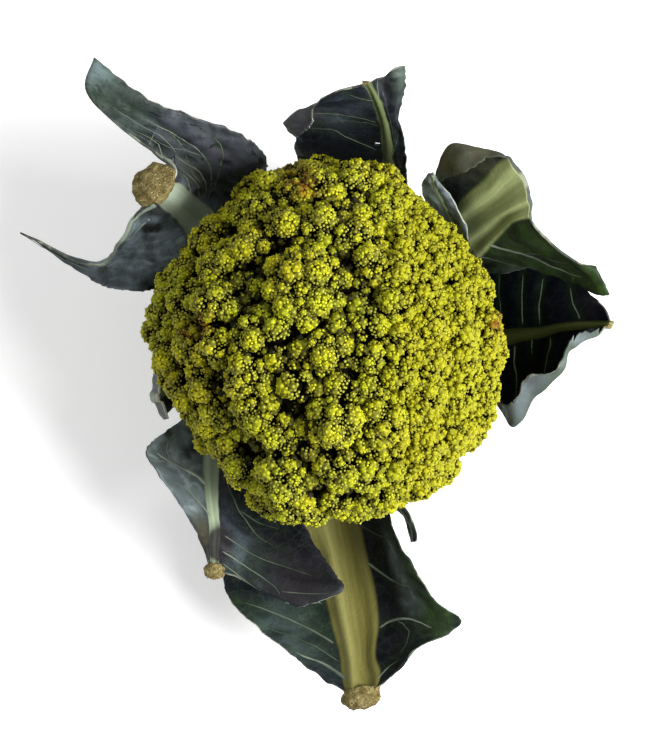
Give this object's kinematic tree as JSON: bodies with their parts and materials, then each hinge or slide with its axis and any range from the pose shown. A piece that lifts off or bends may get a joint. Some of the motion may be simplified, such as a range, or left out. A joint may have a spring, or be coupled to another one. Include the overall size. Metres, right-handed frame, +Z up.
{
  "type": "green cauliflower",
  "caption": "Head of green cauliflower, a dome of clustered buds on a cut stem with trimmed dark leaves spread around it.",
  "frame": {"origin": "centre of the flat cut face under the stem", "axes": "+Z up along the stem, through the crown of the head; -Y along the longest leaf; +X to the right of it as seen from above with -Y towards the viewer"},
  "size_m": [0.2703, 0.2942, 0.1506],
  "materials": {
    "curd": "matte",
    "stem": "satin",
    "leaf_green": "satin",
    "leaf_dark": "satin",
    "leaf_grey": "matte"
  },
  "bodies": {
    "root": {"stem": "stem", "curd": "curd", "leaf_south": "leaf_green", "leaf_south_west": "leaf_green", "leaf_south_east": "leaf_grey", "leaf_east": "leaf_dark", "leaf_north_east": "leaf_green", "leaf_north_east_inner": "leaf_grey", "leaf_north": "leaf_dark", "leaf_north_west": "leaf_grey", "leaf_west": "leaf_grey"}
  },
  "joints": []
}
